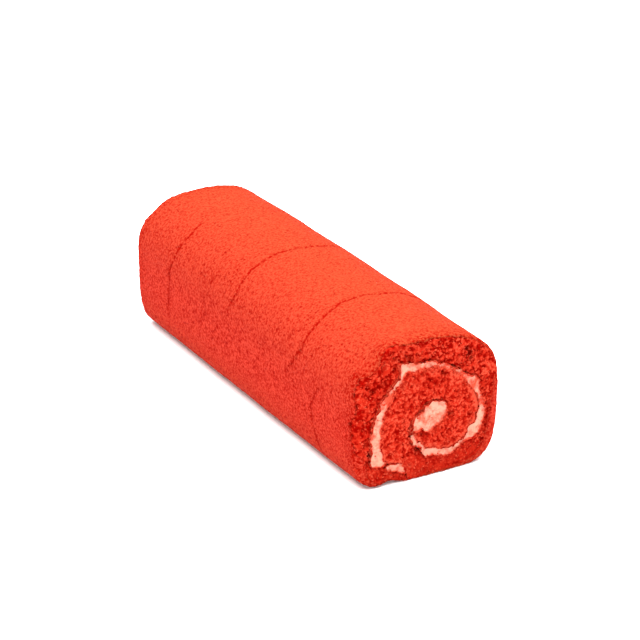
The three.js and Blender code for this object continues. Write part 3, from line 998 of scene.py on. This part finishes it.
class SWISSROLL_OT_skin(bpy.types.Operator):
    """Makes the baked skin that wraps the log, with its creases and torn edges"""

    bl_idname = "swissroll.skin"
    bl_label = "Sponge skin"

    def execute(self, context):
        sizes = context.scene.swiss_roll_sizes
        rows = evenly(SEAM_OUT, TAIL, skin_radius, SKIN_SPACING)
        arc = distance_along(rows, skin_radius(rows))[:, None]
        rows = rows[:, None]
        outer = skin_radius(rows)
        rim = rim_radius(rows)
        straight = LENGTH - 2 * (crown_depth(*place(rows, outer)) + rim)
        near = skin_reach(rows, arc, -1)
        far = skin_reach(rows, arc, 1)

        # Columns lie closer together at the ends, where the skin bends over the rim.
        share = np.linspace(0, 1, SKIN_COLUMNS)
        share = share - CROWDING * np.sin(2 * math.pi * share) / math.pi
        path = share * (near + straight + far)
        past_near = near - path
        past_far = path - near - straight
        past = np.maximum(past_near, past_far)
        turned = np.clip(past / rim, 0, math.pi / 2)
        over = np.maximum(0, past - rim * math.pi / 2)
        radius = outer - rim * (1 - np.cos(turned)) - over
        sign = np.where(past_near > past_far, -1, 1)
        y = np.clip(path - near - straight / 2, -straight / 2, straight / 2)
        y = y + sign * np.where(past > 0, rim * np.sin(turned), 0)
        y = np.where(over > 0, sign * (LENGTH / 2 - crown_depth(*place(rows, radius))), y)
        crease = crease_share(arc, y)
        x, z = place(rows, radius - crease * sizes.crease_depth / MM)
        top = settle(x, y, z, sizes.tail_curl / MM)

        # The underside follows the skin in a few long steps, hidden in the crumb and deepest at the cuts.
        inward = np.full(len(UNDER_COLUMNS), SKIN_THICK)
        inward[[0, -1]] = EDGE_THICK
        turned = turned[:, UNDER_COLUMNS]
        x, z = place(rows, radius[:, UNDER_COLUMNS] - inward * np.cos(turned))
        under_y = y[:, UNDER_COLUMNS] - sign[:, UNDER_COLUMNS] * inward * np.sin(turned)
        under = settle(x, under_y, np.maximum(z, 0), sizes.tail_curl / MM)
        upper = np.arange(y.size).reshape(y.shape)
        lower = y.size + np.arange(x.size).reshape(x.shape)
        faces = grid_faces(upper, flip=True) + grid_faces(lower)
        faces += grid_faces(np.stack([lower[:, 0], upper[:, 0]], 1), flip=True)
        faces += grid_faces(np.stack([upper[:, -1], lower[:, -1]], 1), flip=True)
        faces.append([*lower[0].tolist(), *upper[0, ::-1].tolist()])
        faces.append([*lower[-1, ::-1].tolist(), *upper[-1].tolist()])

        # The skin is coarse on the left and mottled where it is torn; painted warm light makes its top more
        # orange than its redder, shaded sides.
        coarse = 0.25 + 0.75 * side(rows, 185, 55)
        redness = np.minimum(coarse + 0.75 * side(rows, -5, 55), 1)
        torn = np.exp(-((np.minimum(path, near + straight + far - path) / TORN_REACH) ** 2))
        values = {
            "crease": (crease, 0), "coarse": (coarse, 0.3), "redness": (redness, 1),
            "torn": (torn, 0), "rough": (1 + 2 * torn, 0),
        }
        piece = make_object(context, "sponge_skin", (top, under), faces, values)
        run_tree(
            context, piece, surface_relief_tree(),
            {
                "Lump size": 12 * MM, "Lump height": 0.1 * MM,
                "Grain size": 2.2 * MM, "Grain height": 0.1 * MM,
                "Material": skin_material(context.scene.swiss_roll_colours),
            },
        )
        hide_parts("sponge")
        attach(piece, "root")
        return {"FINISHED"}


# The cream's rows of points in the lump, its points from one layer of sponge to the next, and the length
# over which the line tapers to its end.
LUMP_ROWS = 56
CREAM_COLUMNS = 25
END_TAPER = 2.2


class SWISSROLL_OT_cream(bpy.types.Operator):
    """Makes the cream: the lump in the core and the line that runs out of it"""

    bl_idname = "swissroll.cream"
    bl_label = "Cream"

    def execute(self, context):
        # The lump's two sides, from its far end to the neck, and then the two sides of the line.
        turned = (np.arange(LUMP_ROWS) + 0.5) * 180 / LUMP_ROWS
        lump = []
        for number, around in enumerate((TIP + 180 - turned, TIP + 180 + turned)):
            bite = 0.4 * wander(around, 14, 50 + number) + 0.35 * wander(around, 6, 52 + number)
            bite = bite + CREAM_BITE - 0.15 + 0.3 * side(around, NECK_ANGLE, 18)
            lump.append(place(around, core_radius(around) + lump_shift(around) + bite))
        rows = evenly(TIP, CREAM_END, line_radius, CREAM_SPACING)
        arc = distance_along(rows, line_radius(rows))
        ragged = [0.55 * wander(arc, 2.4, 60 + edge) + 0.5 * wander(arc, 0.9, 70 + edge) for edge in (0, 1)]
        ragged[1] = ragged[1] + 1.1 * wander(arc, 0.8, 80) * side(rows, 252, 22) * (rows < 360)
        end = np.sqrt(np.clip((arc[-1] - arc) / END_TAPER, 0, 1))
        width = (half_space(rows) + CREAM_BITE) * end
        line = [
            place(rows, line_radius(rows) - width + ragged[0] * end),
            place(rows, line_radius(rows) + width + ragged[1] * end),
        ]
        left, right = (np.concatenate([np.stack(lump[edge], 1), np.stack(line[edge], 1)]) for edge in (0, 1))
        share = np.linspace(0, 1, CREAM_COLUMNS)[None, :, None]
        section = mix(left[:, None], right[:, None], share)
        x, z = section[..., 0], section[..., 1]

        # The cut face of the cream is dished: it sinks in the lump and climbs the crumb at its edges.
        span = np.hypot(*(right - left).T)[:, None]
        from_edge = np.minimum(share[..., 0], 1 - share[..., 0]) * span
        climb = 1.1 * np.clip(1 - from_edge / 1.2, 0, 1) ** 2
        sunk = 0.15 + 0.5 * smooth(span, 4, 8)
        ends = [settle(x, sign * (LENGTH / 2 - crown_depth(x, z) - sunk + climb), z) for sign in (-1, 1)]

        # Sponge stains it where it is thin, along its edges and in the measured spots; the stain along its
        # edges is also painted shade where the cream meets the crumb.
        stain = 0.7 * smooth(-span, -2.6, -1.4) + 0.7 * np.clip(1 - from_edge / 1.1, 0, 1)
        spots = sum(
            strength * np.exp(-((x - spot_x) ** 2 + (z - spot_z) ** 2) / size**2)
            for spot_x, spot_z, size, strength in NEAR_STAINS
        )
        # Its edges get crumb colours: caked crumbs, and also painted shade in the crevice at the crumb.
        crusted = smooth(-from_edge, -0.7, -0.2)
        values = {"stain": (stain + spots, stain), "crusted": (crusted, crusted), "rough": (1, 1)}
        piece = make_object(context, "cream_filling", ends, faces_through(x.shape), values)
        run_tree(
            context, piece, surface_relief_tree(),
            {
                "Lump size": 4.5 * MM, "Lump height": 0.45 * MM,
                "Grain size": 1.3 * MM, "Grain height": 0.16 * MM,
                "Material": cream_material(context.scene.swiss_roll_colours),
            },
        )
        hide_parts("cream")
        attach(piece, "root")
        return {"FINISHED"}


# How near a cut the loose crumbs lie, how squarely a face has to look out of the cut, and how many lie on
# each square metre of sponge.
CRUMB_REACH = 6 * MM
CRUMB_FACING = 0.3
CRUMB_DENSITY = 0.2 / MM**2


class SWISSROLL_OT_crumbs(bpy.types.Operator):
    """Scatters loose crumbs over both cuts, thickly on the sponge and thinly on the cream"""

    bl_idname = "swissroll.crumbs"
    bl_label = "Loose crumbs"

    def execute(self, context):
        sizes = context.scene.swiss_roll_sizes
        points, faces, crumbs = [], [], []
        for name, share in (("sponge_crumb", 1.0), ("cream_filling", 0.08)):
            mesh = bpy.data.objects[name].data
            start = len(points)
            points += [tuple(v.co) for v in mesh.vertices]
            at_end = np.abs([v.co.y for v in mesh.vertices]) > sizes.length / 2 - CRUMB_REACH
            crumbs += (share * at_end).tolist()
            for polygon in mesh.polygons:
                corners = list(polygon.vertices)
                if at_end[corners].all() and abs(polygon.normal.y) > CRUMB_FACING:
                    faces.append([start + c for c in corners])
        mesh = bpy.data.meshes.new("loose_crumbs")
        mesh.from_pydata(points, [], faces)
        attribute = mesh.attributes.new("crumbs", "FLOAT", "POINT")
        attribute.data.foreach_set("value", np.array(crumbs, np.float32))
        piece = bpy.data.objects.new("loose_crumbs", mesh)
        context.scene.collection.objects.link(piece)
        run_tree(
            context, piece, crumb_scatter_tree(),
            {
                "Crumb size": sizes.crumb_size, "Density": CRUMB_DENSITY, "Seed": 8,
                "Material": bpy.data.materials["sponge crumb"],
            },
        )
        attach(piece, "root")
        return {"FINISHED"}


# The camera, at the photo's angle and distance, for a square picture.
CAMERA_ELEVATION = math.radians(23.6)
CAMERA_AZIMUTH = math.radians(29.73)
CAMERA_DISTANCE = 1.208
CAMERA_LENS = 136.1
CAMERA_SHIFT = (6.84 * MM, -3.26 * MM)
LOOK_AT = Vector((0, 0, 40 * MM))

# The room's even light and the round softboxes: name, place, size across and power.
ROOM_BRIGHTNESS = 0.8
SOFTBOXES = (
    ("overhead softbox", (0.0, 0.0, 1.3), 2.4, 86.0),
    ("front softbox", (-0.8, -1.3, 0.45), 1.0, 8.0),
)
FLOOR_REACH = 4.0


class SWISSROLL_OT_stage(bpy.types.Operator):
    """Makes the pale floor, the soft lights and the camera"""

    bl_idname = "swissroll.stage"
    bl_label = "Stage"

    def execute(self, context):
        scene = context.scene
        mesh = bpy.data.meshes.new("floor")
        corners = [(FLOOR_REACH * x, FLOOR_REACH * y, 0) for x, y in ((-1, -1), (1, -1), (1, 1), (-1, 1))]
        mesh.from_pydata(corners, [], [(0, 1, 2, 3)])
        mesh.materials.append(floor_material(scene.swiss_roll_colours))
        floor = bpy.data.objects.new("floor", mesh)
        scene.collection.objects.link(floor)

        scene.world = bpy.data.worlds.new("soft room")
        scene.world.use_nodes = True
        background = scene.world.node_tree.nodes["Background"]
        background.inputs["Color"].default_value = (1, 1, 1, 1)
        background.inputs["Strength"].default_value = ROOM_BRIGHTNESS
        for name, spot, size, power in SOFTBOXES:
            light = bpy.data.lights.new(name, "AREA")
            light.shape = "DISK"
            light.size = size
            light.energy = power
            lamp = bpy.data.objects.new(name, light)
            lamp.location = spot
            lamp.rotation_euler = (LOOK_AT - Vector(spot)).to_track_quat("-Z", "Y").to_euler()
            scene.collection.objects.link(lamp)

        cos_e, sin_e = math.cos(CAMERA_ELEVATION), math.sin(CAMERA_ELEVATION)
        cos_a, sin_a = math.cos(CAMERA_AZIMUTH), math.sin(CAMERA_AZIMUTH)
        back = Vector((-sin_a * cos_e, -cos_a * cos_e, sin_e))
        right = Vector((cos_a, -sin_a, 0))
        target = LOOK_AT + right * CAMERA_SHIFT[0] + back.cross(right) * CAMERA_SHIFT[1]
        data = bpy.data.cameras.new("camera")
        data.lens = CAMERA_LENS
        data.sensor_width = 36
        data.clip_end = 20
        camera = bpy.data.objects.new("camera", data)
        camera.location = target + back * CAMERA_DISTANCE
        camera.rotation_mode = "QUATERNION"
        camera.rotation_quaternion = (-back).to_track_quat("-Z", "Y")
        scene.collection.objects.link(camera)
        scene.camera = camera
        scene.view_settings.view_transform = "Standard"
        return {"FINISHED"}


class SWISSROLL_PT_panel(bpy.types.Panel):
    """Lists the sizes, the colours and the operators"""

    bl_label = "Swiss roll"
    bl_idname = "SWISSROLL_PT_panel"
    bl_space_type = "VIEW_3D"
    bl_region_type = "UI"
    bl_category = "Swiss roll"

    def draw(self, context):
        scene = context.scene
        for group in (scene.swiss_roll_sizes, scene.swiss_roll_colours):
            for name in group.__annotations__:
                self.layout.prop(group, name)
        for operator in OPERATORS:
            self.layout.operator(operator.bl_idname)


OPERATORS = (
    SWISSROLL_OT_crumb, SWISSROLL_OT_skin, SWISSROLL_OT_cream, SWISSROLL_OT_crumbs, SWISSROLL_OT_stage,
)
CLASSES = (SwissRollSizes, SwissRollColours, *OPERATORS, SWISSROLL_PT_panel)


def register():
    for cls in CLASSES:
        bpy.utils.register_class(cls)
    bpy.types.Scene.swiss_roll_sizes = bpy.props.PointerProperty(type=SwissRollSizes)
    bpy.types.Scene.swiss_roll_colours = bpy.props.PointerProperty(type=SwissRollColours)


def unregister():
    del bpy.types.Scene.swiss_roll_colours
    del bpy.types.Scene.swiss_roll_sizes
    for cls in reversed(CLASSES):
        bpy.utils.unregister_class(cls)


def main():
    register()
    bpy.ops.swissroll.crumb()
    bpy.ops.swissroll.skin()
    bpy.ops.swissroll.cream()
    bpy.ops.swissroll.crumbs()
    bpy.ops.swissroll.stage()


if __name__ == "__main__":
    main()
